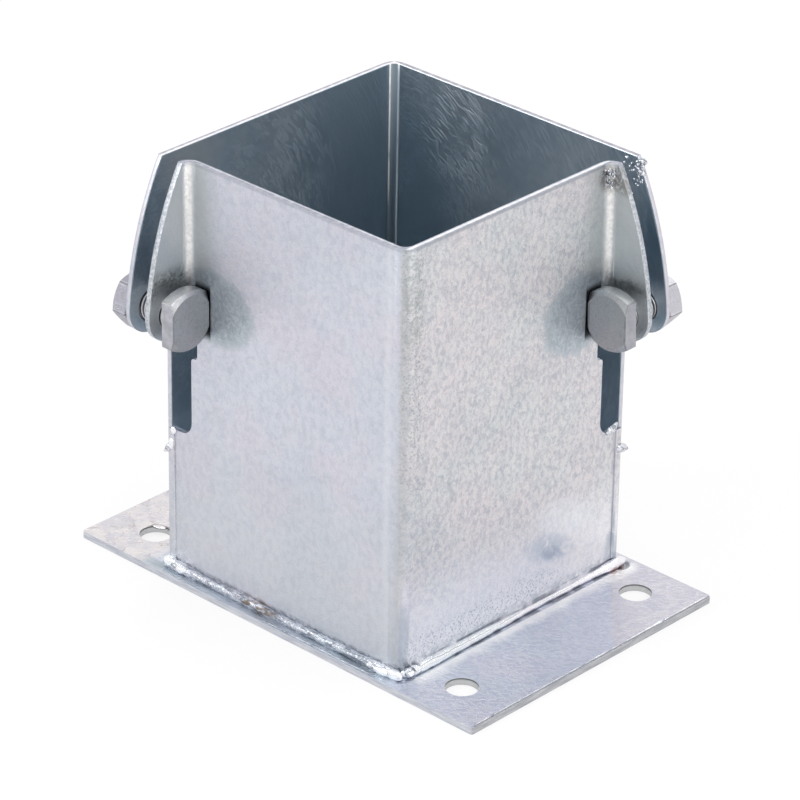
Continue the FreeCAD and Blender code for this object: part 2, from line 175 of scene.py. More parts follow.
slow_hue = tint(coat, mottle(coat, where, 48.0, 0.35, 0.65), (1.02, 0.99, 0.995, 1), (0.98, 1.003, 1.0, 1))
quick_hue = tint(coat, mottle(coat, where, 430.0, 0.35, 0.65), (1.006, 0.999, 0.993, 1),
                 (0.99, 1.0, 1.004, 1))
colour = tint(coat, 1.0, tint(coat, 1.0, colour, slow_hue, "MULTIPLY"), quick_hue, "MULTIPLY")
coat.links.new(colour, coat_out["Color"])
coat.links.new(work_out(coat, "ADD", overlap(coat, fleck, 0.10), coat_in["Gloss"]), coat_out["Roughness"])
coat.links.new(work_out(coat, "ADD", overlap(coat, grain, 0.55), overlap(coat, fleck, 0.45)),
               coat_out["Height"])


def start_material(name, coats):
    """New metal material with one group node for each coat; returns what later steps build on."""
    material = bpy.data.materials.new(name)
    material.use_nodes = True
    tree = material.node_tree
    shader = tree.nodes["Principled BSDF"]
    shader.inputs["Metallic"].default_value = 1.0
    layers = [place(tree, "Group", values, node_tree=coat).outputs for values in coats]
    coordinate = place(tree, "TexCoord").outputs
    scaled = place(tree, "VectorMath", {0: coordinate["Object"], "Scale": 1000.0}, operation="SCALE")
    at = place(tree, "SeparateXYZ", {0: scaled.outputs[0]}).outputs
    facing = place(tree, "SeparateXYZ", {0: coordinate["Normal"]}).outputs
    return material, tree, shader, layers, coordinate["Object"], at, facing


def finish_material(tree, shader, colour, roughness, height, depth):
    """Wire the colour, roughness and relief into the shader. Depth is in metres."""
    tree.links.new(colour, shader.inputs["Base Color"])
    tree.links.new(roughness, shader.inputs["Roughness"])
    bump = place(tree, "Bump", {"Strength": 0.6, "Distance": depth, "Height": height})
    tree.links.new(bump.outputs[0], shader.inputs["Normal"])


def dress(name, material, edge=0.0):
    """Give a CAD piece its finish, and ease its edges where it has an edge radius in metres."""
    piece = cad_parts[name]
    for slot in piece.material_slots:
        slot.material = material
    if edge:
        weld = piece.modifiers.new("close_mesh", "WELD")
        weld.merge_threshold = 0.00001
        round_off = piece.modifiers.new("eased_edges", "BEVEL")
        round_off.width = edge
        round_off.segments = 2
        round_off.limit_method = "ANGLE"
        round_off.angle_limit = math.radians(40.0)
        round_off.harden_normals = True
        round_off.loop_slide = False


plate_zinc, tree, shader, (zinc,), where, at, facing = start_material("plate_zinc", [{
    "Light": (0.79, 0.80, 0.86, 1), "Shade": (0.56, 0.59, 0.68, 1), "Fleck Size": 3.2, "Flecks": 0.12,
    "Streaks": 0.0, "Clouds": 0.40, "Grain": 0.30, "Gloss": 0.31}])

# Top face: rippled zinc that darkens along a level slant, towards the right-hand corner.
turned = place(tree, "VectorRotate", {"Vector": where, "Angle": math.radians(-43.0)}, rotation_type="Z_AXIS")
ripple = mottle(tree, stretch(tree, turned.outputs[0], (0.62, 1.0, 1.0)), 760.0, 0.36, 0.64, 5.0, 0.9)
colour = tint(tree, overlap(tree, ripple, 0.55), zinc["Color"], (0.47, 0.52, 0.65, 1))
slant = (0.745, 0.667)
across = work_out(tree, "ADD", overlap(tree, at[0], slant[0]), overlap(tree, at[1], slant[1]))
shadowed = fade(tree, across, 44.0, 71.0)
colour = tint(tree, overlap(tree, shadowed, 0.5), colour, (0.52, 0.55, 0.67, 1))

# Both ends: a duller, pinker coat that starts at a wavering line, with veins at the left end.
across = work_out(tree, "ADD", across, overlap(tree, mottle(tree, where, 160.0, 0.3, 0.7), 1.2))
ends = work_out(tree, "MAXIMUM", fade(tree, across, 71.9, 73.6), fade(tree, at[0], -56.0, -62.0))
dull = tint(tree, mottle(tree, where, 150.0, 0.30, 0.70, 6.0, 1.2), (0.79, 0.75, 0.755, 1),
            (0.65, 0.64, 0.69, 1))
dull = tint(tree, fade(tree, at[0], 0.0, 20.0), dull, (0.88, 0.89, 0.94, 1), "MULTIPLY")
dull = tint(tree, overlap(tree, fade(tree, at[0], 0.0, 20.0), ripple, 0.4), dull, (0.54, 0.55, 0.64, 1))
vein = mottle(tree, where, 60.0, 0.47, 0.50, 5.0, 2.5)
vein = overlap(tree, vein, work_out(tree, "SUBTRACT", 1.0, vein), 4.0, fade(tree, at[0], -40.0, -60.0))
dull = tint(tree, overlap(tree, vein, 0.8), dull, (0.50, 0.45, 0.43, 1))
colour = tint(tree, ends, colour, dull)

# Beside the right bead: white zinc painted as a highlight, then painted shade in a dark line at the toe and
# in a ring round the bulb.
swell = work_out(tree, "ADD", at[0], overlap(tree, mottle(tree, where, 140.0, 0.3, 0.7), 2.0))
beside = overlap(tree, fade(tree, swell, 63.0, 57.5), fade(tree, at[0], 55.6, 56.4),
                 band(tree, at[1], -50.0, 56.0, 3.0))
colour = tint(tree, overlap(tree, beside, 0.85), colour, (1.0, 1.0, 1.0, 1))
toe = overlap(tree, band(tree, at[0], 54.0, 55.75, 0.2), band(tree, at[1], -52.0, 56.0, 1.0))
colour = tint(tree, overlap(tree, toe, mottle(tree, where, 170.0, 0.42, 0.60), 0.7), colour,
              (0.12, 0.13, 0.17, 1))
bulb_ring = band(tree, away_from(tree, where, 53.9, 52.2), 2.2, 3.7, 0.35)
shade = overlap(tree, bulb_ring, mottle(tree, where, 300.0, 0.25, 0.50))
colour = tint(tree, overlap(tree, shade, 0.8), colour, (0.13, 0.14, 0.17, 1))

# The grey strip in front of the left bead, and a dark ring by the near hole at the left end.
strip = overlap(tree, fade(tree, at[1], -53.0, -54.5), band(tree, at[0], -60.0, 50.0, 6.0))
along = mottle(tree, stretch(tree, where, (0.08, 1.0, 1.0)), 900.0, 0.3, 0.7)
greyed = tint(tree, along, (0.48, 0.53, 0.58, 1), (0.36, 0.41, 0.46, 1))
colour = tint(tree, overlap(tree, strip, 0.85), colour, greyed)
hole_ring = band(tree, away_from(tree, where, -70.0, -42.0), 5.3, 6.2, 0.35)
ring = overlap(tree, hole_ring, fade(tree, at[1], -41.0, -39.0), mottle(tree, where, 400.0, 0.30, 0.50))
colour = tint(tree, overlap(tree, ring, 0.8), colour, (0.22, 0.21, 0.20, 1))

# Sheared sides and the walls of the holes, marked by the tools that cut them. The hole walls carry painted
# shade along their top.
sides = fade(tree, facing[2], 0.7, 0.3)
drawn = mottle(tree, stretch(tree, where, (0.12, 0.12, 1.0)), 1100.0, 0.3, 0.7)
long_side = tint(tree, drawn, (0.66, 0.67, 0.72, 1), (0.50, 0.52, 0.58, 1))
end_side = tint(tree, drawn, (0.56, 0.56, 0.58, 1), (0.40, 0.41, 0.44, 1))
cut = tint(tree, fade(tree, facing[0], 0.5, 0.8), long_side, end_side)
in_hole = overlap(tree, band(tree, at[1], -50.0, 50.0, 0.5), band(tree, at[0], -80.0, 80.0, 0.5))
shaded_hole_wall = tint(tree, fade(tree, at[2], 1.7, 2.3), (0.56, 0.57, 0.58, 1), (0.13, 0.14, 0.13, 1))
cut = tint(tree, in_hole, cut, shaded_hole_wall)
colour = tint(tree, sides, colour, cut)
height = work_out(tree, "ADD", overlap(tree, zinc["Height"], 0.6), overlap(tree, ripple, 0.85))
finish_material(tree, shader, colour, zinc["Roughness"], height, depth=0.00014)
dress("base_plate", plate_zinc, edge=0.0003)


# ---------------------------------------------------------------------------------------------
# Front angle. One folded sheet: the two near walls, slotted beside the open corners, with ears
# folded outwards. Outside it is pale and spangled; inside it drained slowly and went dark, deepened further
# with painted shade.

# Dark zinc: slate blue, deepened with painted shade, with the arcs that a wiping hand left round a centre on
# the wall.
slate, slate_in, slate_out = new_group(
    "shaded_dark_zinc",
    [("Along", "Float", 0.0), ("Up", "Float", 0.0),
     ("Centre Along", "Float", 0.0), ("Centre Up", "Float", 0.0), ("Patch", "Float", 0.0)],
    [("Color", "Color", None), ("Wipes", "Float", None)])
where = place(slate, "TexCoord").outputs["Object"]
from_centre = [work_out(slate, "SUBTRACT", slate_in[label], slate_in["Centre " + label])
               for label in ("Along", "Up")]
ring = length_of(slate, *from_centre)
turn = work_out(slate, "ARCTAN2", *from_centre)
polar = place(slate, "CombineXYZ", {0: overlap(slate, ring, 0.62), 1: overlap(slate, turn, 11.0)}).outputs[0]
hair = mottle(slate, polar, 1.0, 0.45, 0.60, 4.0, 1.1)
stray = overlap(slate, mottle(slate, where, 42.0, 0.40, 0.58, 2.0, 0.6), 0.45)
wipes = overlap(slate, hair, work_out(slate, "MAXIMUM", slate_in["Patch"], stray))
smear = mottle(slate, where, 24.0, 0.32, 0.68, 4.0, 1.0)
base = tint(slate, smear, (0.47, 0.565, 0.64, 1), (0.64, 0.70, 0.76, 1))
base = tint(slate, overlap(slate, mottle(slate, where, 330.0, 0.35, 0.65, 5.0), 0.4), base,
            (0.45, 0.53, 0.61, 1))
slate.links.new(tint(slate, overlap(slate, wipes, 0.75), base, (0.81, 0.87, 0.93, 1)), slate_out["Color"])
slate.links.new(wipes, slate_out["Wipes"])


def add_slate(tree, along, up, centre, patch=0.0):
    """Dark zinc deepened with painted shade, wiped round a centre given in millimetres, more strongly where
    patch is 1.
    """
    feeds = {"Along": along, "Up": up, "Centre Along": centre[0], "Centre Up": centre[1], "Patch": patch}
    return place(tree, "Group", feeds, node_tree=slate).outputs


def add_rim(tree, where, dull, dull_shade, bright, bright_shade):
    """Dull colour and painted-highlight colour of a cut edge, each with its own darker mottling."""
    return (tint(tree, mottle(tree, where, 420.0, 0.30, 0.62, 4.0), dull, dull_shade),
            tint(tree, mottle(tree, where, 420.0, 0.35, 0.70, 4.0), bright, bright_shade))


front_zinc, tree, shader, (cool, warm), where, at, facing = start_material("front_angle_zinc", [
    {"Light": (0.70, 0.70, 0.77, 1), "Shade": (0.44, 0.48, 0.56, 1), "Fleck Size": 2.1, "Flecks": 0.30,
     "Streaks": 0.02, "Clouds": 0.14, "Grain": 0.26, "Gloss": 0.36},
    {"Light": (0.80, 0.78, 0.785, 1), "Shade": (0.39, 0.415, 0.485, 1), "Fleck Size": 1.6, "Flecks": 0.48,
     "Streaks": 0.04, "Clouds": 0.10, "Grain": 0.32, "Gloss": 0.37}])
on_left = fade(tree, facing[1], -0.5, -0.9)
on_right = fade(tree, facing[0], 0.5, 0.9)
to_right = fade(tree, facing[0], 0.25, 0.8)
colour = tint(tree, to_right, cool["Color"], warm["Color"])
height = place(tree, "Mix", {0: to_right, 2: cool["Height"], 3: warm["Height"]}).outputs[0]
speck = mottle(tree, where, 1300.0, 0.52, 0.66, 4.0)

# Near fold: a painted highlight where the left wall ends, then painted shade round the bend, with darker
# speckles and a dark swirled patch higher up.
bend_highlight = overlap(tree, on_left, band(tree, at[0], 44.6, 47.0, 1.6))
colour = tint(tree, overlap(tree, bend_highlight, 0.3), colour, (0.84, 0.84, 0.88, 1))
past_bend = work_out(tree, "ADD", at[0], overlap(tree, mottle(tree, where, 220.0, 0.3, 0.7, 4.0), 1.4))
bend_shade = overlap(tree, band(tree, facing[0], 0.36, 0.90, 0.30), band(tree, facing[1], -0.95, -0.30, 0.18),
                    fade(tree, past_bend, 46.4, 49.0))
colour = tint(tree, overlap(tree, bend_shade, 0.5), colour, (0.48, 0.49, 0.51, 1))
bend_speckle = overlap(tree, band(tree, at[1], -53.0, -43.0, 3.0), fade(tree, at[2], 45.0, 85.0), speck,
                fade(tree, at[0], 49.0, 51.0))
colour = tint(tree, overlap(tree, bend_speckle, 0.6), colour, (0.30, 0.32, 0.32, 1))
swirl = mottle(tree, where, 300.0, 0.34, 0.66, 6.0, 2.2)
high_bend_patch = overlap(tree, spot(tree, at[1], at[2], (-49.5, 134.0), (7.0, 22.0)),
                    fade(tree, at[0], 49.5, 51.5), swirl)
colour = tint(tree, overlap(tree, high_bend_patch, 0.75), colour, (0.36, 0.39, 0.39, 1))

# Foot of the right wall: bluer and brighter as a painted reflection, with a painted highlight, a smudge, a
# crescent by the corner, painted shade above the bead and grit.
low = overlap(tree, on_right, fade(tree, at[2], 46.0, 14.0))
foot_reflection_colour = tint(tree, warm["Height"], (1.0, 0.985, 1.0, 1), (0.83, 0.84, 0.90, 1))
colour = tint(tree, overlap(tree, low, 0.75), colour, foot_reflection_colour)
rag = mottle(tree, where, 210.0, 0.25, 0.60, 4.0, 0.8)
level = work_out(tree, "ADD", at[2], overlap(tree, at[1], 0.30))
# Painted highlight on the lower right wall.
gleam = overlap(tree, on_right, spot(tree, at[1], level, (25.0, 38.0), (17.0, 9.0)))
colour = tint(tree, overlap(tree, gleam, 0.3), colour, (0.90, 0.94, 1.0, 1))
smudge = overlap(tree, on_right, spot(tree, at[1], level, (18.0, 27.0), (15.0, 7.0)), rag)
colour = tint(tree, overlap(tree, smudge, 0.5), colour, (0.42, 0.50, 0.62, 1))
smudge = overlap(tree, on_right, spot(tree, at[1], level, (19.5, 25.6), (7.0, 3.2)), rag)
colour = tint(tree, overlap(tree, smudge, 0.7), colour, (0.36, 0.43, 0.54, 1))
edge_line = overlap(tree, on_right, band(tree, at[1], 48.9, 50.2, 0.4), band(tree, at[2], 6.0, 26.0, 14.0))
colour = tint(tree, overlap(tree, edge_line, rag, 0.8), colour, (0.30, 0.36, 0.43, 1))
corner = overlap(tree, on_right, spot(tree, at[1], at[2], (49.4, 10.0), (4.2, 9.0)), rag)
colour = tint(tree, overlap(tree, corner, 0.55), colour, (0.36, 0.43, 0.50, 1))
fold_foot = overlap(tree, spot(tree, at[1], at[2], (-50.5, 16.0), (3.0, 15.0)), fade(tree, at[0], 50.0, 51.0))
colour = tint(tree, overlap(tree, fold_foot, 0.65), colour, (0.38, 0.42, 0.47, 1))
# Painted shade in the crease where the right wall meets its bead.
foot = overlap(tree, on_right, band(tree, at[2], 4.5, 7.2, 2.0), mottle(tree, where, 560.0, 0.30, 0.62, 5.0))
colour = tint(tree, overlap(tree, foot, 0.6), colour, (0.30, 0.36, 0.43, 1))
drawn_out = stretch(tree, where, (1.0, 0.3, 1.0))
crease = overlap(tree, on_right, fade(tree, at[2], 5.8, 5.2), mottle(tree, drawn_out, 300.0, 0.38, 0.52))
colour = tint(tree, overlap(tree, crease, 0.65), colour, (0.12, 0.14, 0.19, 1))
lower_left = overlap(tree, on_left, fade(tree, at[2], 80.0, 12.0), 0.4)
colour = tint(tree, lower_left, colour, (0.57, 0.60, 0.62, 1))
grit = overlap(tree, on_right, band(tree, at[2], 6.0, 15.0, 3.0), fade(tree, at[1], 34.0, 10.0), speck)
colour = tint(tree, overlap(tree, grit, 0.75), colour, (0.36, 0.40, 0.46, 1))
# Painted shade where the left wall meets its bead.
left_foot = overlap(tree, on_left, band(tree, at[2], 4.0, 6.0, 0.4),
                    mottle(tree, where, 520.0, 0.36, 0.62, 5.0))
colour = tint(tree, overlap(tree, left_foot, 0.6), colour, (0.28, 0.29, 0.33, 1))
brown = overlap(tree, on_left, spot(tree, at[0], at[2], (-12.5, 5.0), (7.0, 2.2)),
                mottle(tree, where, 700.0, 0.40, 0.58, 4.0))
colour = tint(tree, overlap(tree, brown, 0.45), colour, (0.30, 0.25, 0.20, 1))

# Upper corners: painted reflections turn the walls greenish towards the folded ears and darken them round the
# bolt heads.
high = fade(tree, at[2], 88.0, 118.0)
ear_reflection = work_out(tree, "MAXIMUM", overlap(tree, on_left, fade(tree, at[0], -27.0, -37.0)),
                   overlap(tree, on_right, fade(tree, at[1], 27.0, 37.0)))
colour = tint(tree, overlap(tree, ear_reflection, high, 0.62), colour, (0.49, 0.53, 0.53, 1))
head_reflection = work_out(tree, "MAXIMUM",
                overlap(tree, on_left, spot(tree, at[0], at[2], (-30.5, 104.5), (22.5, 17.0))),
                overlap(tree, on_right, spot(tree, at[1], at[2], (29.0, 103.5), (23.0, 18.0))))
head_reflection_colour = tint(tree, swirl, (0.36, 0.415, 0.46, 1), (0.51, 0.56, 0.61, 1))
head_reflection = work_out(tree, "ADD", head_reflection, overlap(tree, swirl, fade(tree, head_reflection, 0.0, 0.2), 0.35))
colour = tint(tree, overlap(tree, fade(tree, head_reflection, 0.35, 0.85), 0.92), colour, head_reflection_colour)
ears = work_out(tree, "MAXIMUM", fade(tree, at[1], -54.2, -55.6), fade(tree, at[0], 54.2, 55.6))
ear_colour = tint(tree, mottle(tree, where, 90.0, 0.3, 0.7), (0.67, 0.70, 0.705, 1), (0.61, 0.65, 0.665, 1))
# Painted light: the ears are lighter below the bolt heads.
ear_colour = tint(tree, fade(tree, at[2], 114.0, 108.0), ear_colour, (0.80, 0.85, 0.88, 1))
# Painted shade: a dark band on each ear just above its bolt head.
above_head_shade = overlap(tree, band(tree, at[2], 111.0, 117.0, 2.5), fade(tree, at[0], 20.0, 0.0), swirl)
ear_colour = tint(tree, overlap(tree, above_head_shade, 0.85), ear_colour, (0.20, 0.22, 0.22, 1))
above_head_shade = overlap(tree, band(tree, at[2], 110.5, 113.0, 1.0), fade(tree, at[0], 0.0, 20.0), swirl)
ear_colour = tint(tree, overlap(tree, above_head_shade, 0.6), ear_colour, (0.24, 0.26, 0.26, 1))
ear_rim = mottle(tree, where, 1200.0, 0.30, 0.66, 5.0)
ear_rim = tint(tree, ear_rim, (0.68, 0.70, 0.74, 1), (0.40, 0.43, 0.47, 1))
outwards_y = work_out(tree, "MULTIPLY", facing[1], -1.0)
across_ear = place(tree, "Mix", {0: fade(tree, at[0], 0.0, 1.0), 2: facing[0], 3: outwards_y}).outputs[0]
ear_colour = tint(tree, fade(tree, across_ear, 0.85, 0.55), ear_colour, ear_rim)
colour = tint(tree, ears, colour, ear_colour)
# Painted highlight along each ear's bend.
fold_highlight = work_out(tree, "MAXIMUM",
                 overlap(tree, band(tree, at[1], -55.0, -52.9, 0.35), fade(tree, facing[1], -0.1, -0.4)),
                 overlap(tree, band(tree, at[0], 52.9, 55.0, 0.35), fade(tree, facing[0], 0.1, 0.4)))
fold_highlight = overlap(tree, fold_highlight, fade(tree, at[2], 109.0, 114.0))
fold_highlight_colour = tint(tree, mottle(tree, where, 900.0, 0.3, 0.7, 4.0), (0.93, 0.92, 0.90, 1),
                   (0.72, 0.72, 0.72, 1))
colour = tint(tree, overlap(tree, fold_highlight, 0.9), colour, fold_highlight_colour)
# Painted shadow on each wall behind its bolt head.
head_shadow = work_out(tree, "MAXIMUM", overlap(tree, on_left, band(tree, at[0], -39.0, -32.3, 0.15)),
                  overlap(tree, on_right, band(tree, at[1], 31.9, 39.0, 0.15)))
head_shadow = overlap(tree, head_shadow, band(tree, at[2], 93.0, 111.0, 1.5))
colour = tint(tree, head_shadow, colour, (0.03, 0.035, 0.04, 1))

# A crusted, brownish patch where the right wall meets its ear, under the drops.
caked = overlap(tree, spot(tree, at[1], at[2], (40.5, 147.5), (5.5, 6.5)), fade(tree, at[0], 50.0, 52.0),
                mottle(tree, where, 700.0, 0.36, 0.56, 5.0, 1.0))
colour = tint(tree, overlap(tree, caked, 0.75), colour, (0.29, 0.28, 0.26, 1))

# Inside, dark zinc deepened with painted shade, and the cut edges of the sheet.
lean = work_out(tree, "SUBTRACT", facing[1], facing[0])
inward = fade(tree, lean, 0.25, 0.6)
dark = add_slate(tree, at[0], at[2], (0.0, 20.0))
in_slot = fade(tree, at[2], 98.0, 92.0)
dark = tint(tree, in_slot, dark["Color"], (0.50, 0.595, 0.62, 1))
colour = tint(tree, inward, colour, dark)
top = fade(tree, facing[2], 0.6, 0.85)
dull_rim, rim_highlight = add_rim(tree, where, (0.54, 0.55, 0.62, 1), (0.36, 0.38, 0.44, 1),
                               (0.97, 0.97, 1.0, 1), (0.78, 0.80, 0.85, 1))
# Painted highlight along part of each rim.
left_rim = tint(tree, overlap(tree, band(tree, at[1], -51.3, -50.95, 0.2), 0.6), dull_rim, rim_highlight)
right_rim = tint(tree, band(tree, at[0], 50.9, 52.0, 0.25), dull_rim, rim_highlight)
rim = tint(tree, fade(tree, at[0], 46.0, 50.6), left_rim, right_rim)
lip = overlap(tree, work_out(tree, "MAXIMUM", on_right, overlap(tree, on_left, 0.6)),
              fade(tree, at[2], 151.0, 151.9))
colour = tint(tree, overlap(tree, lip, 0.7), colour, (0.34, 0.36, 0.42, 1))
colour = tint(tree, top, colour, rim)
finish_material(tree, shader, colour, cool["Roughness"], height, depth=0.00014)
dress("front_angle", front_zinc, edge=0.00035)


# ---------------------------------------------------------------------------------------------
# Back angle. The other folded sheet: the two far walls, whose ears run straight on. The faces
# that are seen over the rim are the dark inner ones, deepened with painted shade, with two painted highlights
# down the far fold.

back_zinc, tree, shader, (zinc,), where, at, facing = start_material("back_angle_zinc", [{
    "Light": (0.74, 0.72, 0.77, 1), "Shade": (0.44, 0.47, 0.55, 1), "Fleck Size": 2.2, "Flecks": 0.36,
    "Streaks": 0.10, "Clouds": 0.14, "Grain": 0.20, "Gloss": 0.36}])

# Inner faces: wiped slate zinc deepened with painted shade, more painted shade towards the far fold and
# painted light by the upper corner.
left_inner = overlap(tree, fade(tree, facing[0], 0.25, 0.6), fade(tree, at[0], -40.0, -44.0))
right_inner = overlap(tree, fade(tree, facing[1], -0.25, -0.6), fade(tree, at[1], 40.0, 44.0))
inward = work_out(tree, "MAXIMUM", left_inner, right_inner)
ragged = mottle(tree, where, 90.0, 0.30, 0.55, 3.0, 0.8)
left_patch = overlap(tree, spot(tree, at[1], at[2], (1.0, 128.0), (34.0, 34.0)), ragged)
right_patch = overlap(tree, spot(tree, at[0], at[2], (-22.0, 134.0), (24.0, 26.0)), ragged)
left_slate = add_slate(tree, at[1], at[2], (-62.0, 95.0), left_patch)
right_slate = add_slate(tree, at[0], at[2], (-62.0, 84.0), right_patch)
dark = tint(tree, right_inner, left_slate["Color"], right_slate["Color"])
shaded = work_out(tree, "MAXIMUM", overlap(tree, left_inner, fade(tree, at[1], 6.0, 22.0)),
                  overlap(tree, right_inner, spot(tree, at[0], at[2], (-44.0, 108.0), (26.0, 36.0))))
dark = tint(tree, overlap(tree, shaded, 0.8), dark, (0.48, 0.585, 0.67, 1))
lit_corner = overlap(tree, right_inner, spot(tree, at[0], at[2], (-34.0, 150.0), (18.0, 14.0)),
                     mottle(tree, where, 500.0, 0.3, 0.6, 5.0, 1.5))
dark = tint(tree, overlap(tree, lit_corner, 0.7), dark, (0.74, 0.79, 0.84, 1))
brownish = overlap(tree, left_inner, spot(tree, at[1], at[2], (-44.0, 146.0), (16.0, 16.0)))
dark = tint(tree, overlap(tree, brownish, 0.5), dark, (0.72, 0.70, 0.71, 1))
# Painted shade in the far fold, and a painted highlight down each side of it.
fold = fade(tree, overlap(tree, facing[0], facing[1], -1.0), 0.04, 0.16)
dark = tint(tree, fold, dark, (0.25, 0.30, 0.34, 1))
far_left = overlap(tree, band(tree, at[1], 48.25, 48.75, 0.12), fade(tree, at[0], -49.0, -50.0),
                   fade(tree, at[2], 98.0, 112.0))
broken = mottle(tree, stretch(tree, where, (1.0, 1.0, 0.3)), 300.0, 0.2, 0.5)
dark = tint(tree, overlap(tree, far_left, broken), dark, (1.0, 0.94, 0.86, 1))
far_right = overlap(tree, band(tree, at[0], -48.5, -47.9, 0.12), fade(tree, at[1], 49.0, 50.0))
dark = tint(tree, overlap(tree, far_right, 0.95), dark, (0.95, 0.98, 1.0, 1))
colour = tint(tree, inward, zinc["Color"], dark)

# Cut rim: a painted highlight along its inner edge, and dull along its outer one.
top = fade(tree, facing[2], 0.6, 0.85)
dull_rim, rim_highlight = add_rim(tree, where, (0.60, 0.58, 0.66, 1), (0.42, 0.42, 0.48, 1),
                               (0.97, 0.97, 1.0, 1), (0.80, 0.80, 0.85, 1))
from_middle = work_out(tree, "MAXIMUM", work_out(tree, "MULTIPLY", at[0], -1.0), at[1])
crest = place(tree, "Mix", {0: fade(tree, at[1], 46.0, 50.4), 2: 51.35, 3: 50.85}).outputs[0]
rim = tint(tree, fade(tree, work_out(tree, "SUBTRACT", from_middle, crest), -0.15, 0.15),
           rim_highlight, dull_rim)
colour = tint(tree, top, colour, rim)
roughness = place(tree, "Mix", {0: inward, 2: zinc["Roughness"], 3: 0.36}).outputs[0]
wiped = place(tree, "Mix", {0: right_inner, 2: left_slate["Wipes"], 3: right_slate["Wipes"]}).outputs[0]
wiped = overlap(tree, wiped, work_out(tree, "SUBTRACT", 1.0, fold))
height = place(tree, "Mix", {0: inward, 2: zinc["Height"], 3: wiped}).outputs[0]
finish_material(tree, shader, colour, roughness, height, depth=0.00012)
dress("back_angle", back_zinc, edge=0.00035)


# ---------------------------------------------------------------------------------------------
# Welds. A bead runs along the foot of each wall and up each open corner, dipped in zinc. The
# right bead is smooth and ends in a bulb; the left one is rough, spattered and lumpy at its ends.

smooth_bead, tree, shader, (zinc,), where, at, facing = start_material("smooth_bead_zinc", [{
    "Light": (0.98, 0.98, 1.0, 1), "Shade": (0.50, 0.54, 0.62, 1), "Fleck Size": 1.6, "Flecks": 0.10,
    "Streaks": 0.0, "Clouds": 0.10, "Grain": 0.15, "Gloss": 0.10}])

# Painted shade under the bulge and in a broken line along the crown, pits at the near end, rust at the bulb.
under = overlap(tree, fade(tree, at[2], 2.95, 2.65), fade(tree, at[0], 52.0, 53.0))
colour = tint(tree, overlap(tree, under, 0.8), zinc["Color"], (0.16, 0.18, 0.22, 1))
lean = work_out(tree, "ADD", facing[2], overlap(tree, mottle(tree, where, 120.0, 0.3, 0.7), 0.22))
broken = mottle(tree, stretch(tree, where, (1.0, 0.3, 1.0)), 240.0, 0.36, 0.50)
crown_shade = overlap(tree, band(tree, lean, 0.80, 0.86, 0.05), band(tree, at[1], -46.0, 30.0, 6.0),
                 fade(tree, at[0], 50.0, 52.0), broken)
colour = tint(tree, overlap(tree, crown_shade, 0.85), colour, (0.14, 0.16, 0.21, 1))
pits = overlap(tree, spot(tree, at[1], at[2], (-47.5, 4.6), (4.5, 2.6)), fade(tree, at[0], 50.0, 52.0),
               mottle(tree, where, 420.0, 0.50, 0.56, 2.0))
colour = tint(tree, overlap(tree, pits, 0.85), colour, (0.12, 0.14, 0.18, 1))
brown = overlap(tree, spot(tree, at[1], at[2], (49.5, 3.1), (4.5, 1.1)), fade(tree, at[0], 60.0, 58.0),
                mottle(tree, where, 600.0, 0.38, 0.55))
colour = tint(tree, overlap(tree, brown, 0.85), colour, (0.26, 0.11, 0.08, 1))
finish_material(tree, shader, colour, zinc["Roughness"], zinc["Height"], depth=0.00012)

rough_bead, tree, shader, (zinc,), where, at, facing = start_material("rough_bead_zinc", [{
    "Light": (0.66, 0.68, 0.74, 1), "Shade": (0.22, 0.25, 0.30, 1), "Fleck Size": 1.3, "Flecks": 0.42,
    "Streaks": 0.0, "Clouds": 0.20, "Grain": 0.35, "Gloss": 0.12}])

# Painted shade in crevices all along, painted highlights at both ends, and a scorched patch left of the
# middle.
crevice_shade = mottle(tree, stretch(tree, where, (0.22, 1.0, 1.0)), 800.0, 0.48, 0.60, 4.0, 0.8)
end_highlight = work_out(tree, "MAXIMUM", fade(tree, at[0], 38.0, 44.0), fade(tree, at[0], -42.0, -46.0))
colour = tint(tree, overlap(tree, end_highlight, 0.5), zinc["Color"], (0.97, 0.97, 1.0, 1))
colour = tint(tree, overlap(tree, crevice_shade, 0.7), colour, (0.14, 0.16, 0.20, 1))
scorch = mottle(tree, stretch(tree, where, (0.4, 1.0, 1.0)), 560.0, 0.44, 0.54, 4.0)
brown = overlap(tree, spot(tree, at[0], at[2], (-9.5, 4.0), (11.0, 1.7)), scorch)
colour = tint(tree, overlap(tree, brown, 0.9), colour, (0.13, 0.095, 0.065, 1))
finish_material(tree, shader, colour, zinc["Roughness"], zinc["Height"], depth=0.00025)


def select_only(piece):
    bpy.ops.object.select_all(action="DESELECT")
    piece.select_set(True)
    bpy.context.view_layer.objects.active = piece


def settle(piece):
    """Put the piece's place, turn and size into its mesh and point its faces outwards."""
    select_only(piece)
    bpy.ops.object.transform_apply(location=True, rotation=True, scale=True)
    bpy.ops.object.mode_set(mode="EDIT")
    bpy.ops.mesh.select_all(action="SELECT")
    bpy.ops.mesh.remove_doubles(threshold=0.00001)
    bpy.ops.mesh.normals_make_consistent(inside=False)
    bpy.ops.object.mode_set(mode="OBJECT")
    bpy.ops.object.shade_smooth()


def unsettle(piece, size, depth):
    """Push the surface in and out with a noise, as molten metal sets, and keep the result."""
    texture = bpy.data.textures.new(piece.name + "_swell", "CLOUDS")
    texture.noise_scale = size
    select_only(piece)
    swell = piece.modifiers.new("swell", "DISPLACE")
    swell.texture = texture
    swell.texture_coords = "LOCAL"
    swell.strength = depth
    bpy.ops.object.modifier_apply(modifier="swell")


